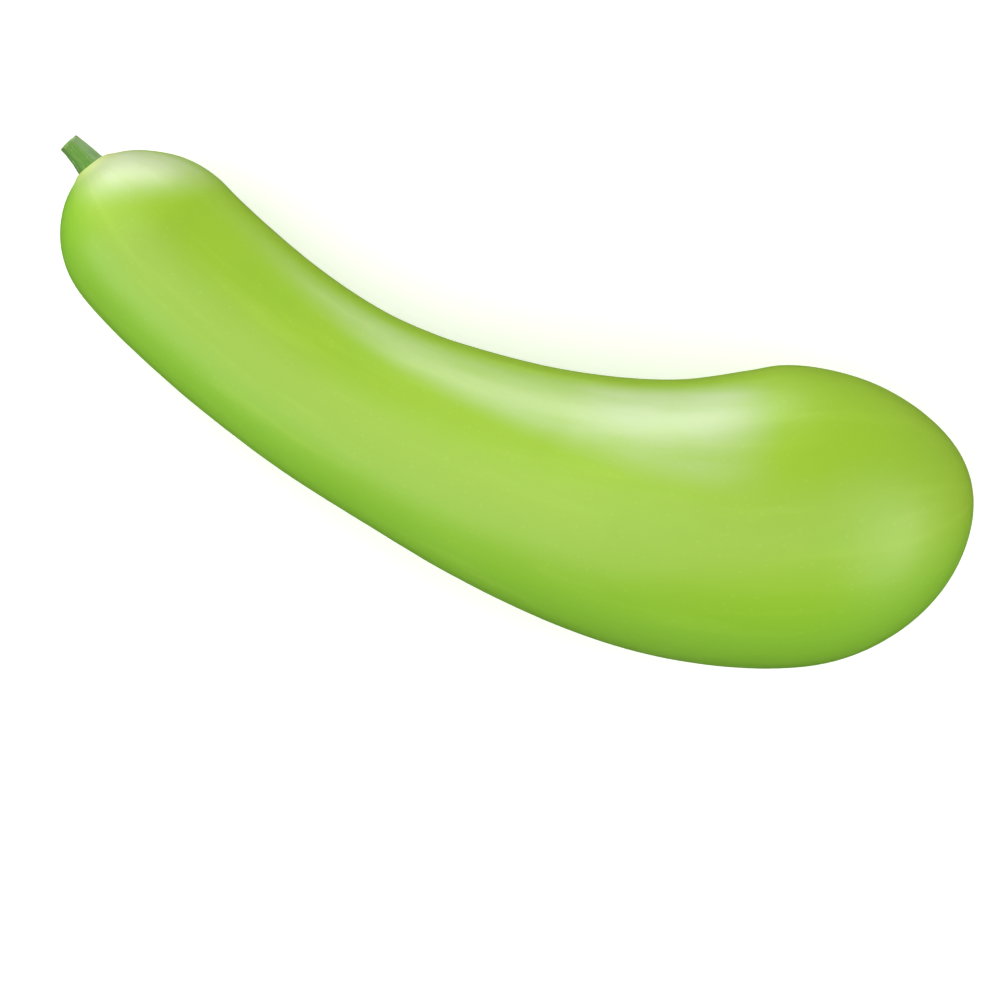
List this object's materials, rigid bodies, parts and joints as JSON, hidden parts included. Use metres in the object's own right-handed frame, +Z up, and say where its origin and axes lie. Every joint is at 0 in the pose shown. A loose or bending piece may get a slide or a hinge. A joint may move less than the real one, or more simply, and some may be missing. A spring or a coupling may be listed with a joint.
{
  "type": "bottle gourd",
  "caption": "Whole bottle gourd lying on its side: a long green fruit that bends gently and widens from a slim neck to a round bulb, with the cut stub of its stem.",
  "frame": {"origin": "middle of the object's box seen from above, at the height of the surface it lies on", "axes": "+X from the stem end to the blossom end along the fruit's length, +Z up, the fruit bends in plan with the outer side of the bend towards -Y"},
  "size_m": [0.3654, 0.1232, 0.1085],
  "materials": {
    "rind": "smooth waxy light green rind with a soft sheen, faint pale streaks and flecks",
    "stem_rind": "dull fibrous mid green stalk with low ridges, pale where it is cut"
  },
  "bodies": {
    "root": {"fruit": "rind", "stem": "stem_rind"}
  },
  "joints": []
}
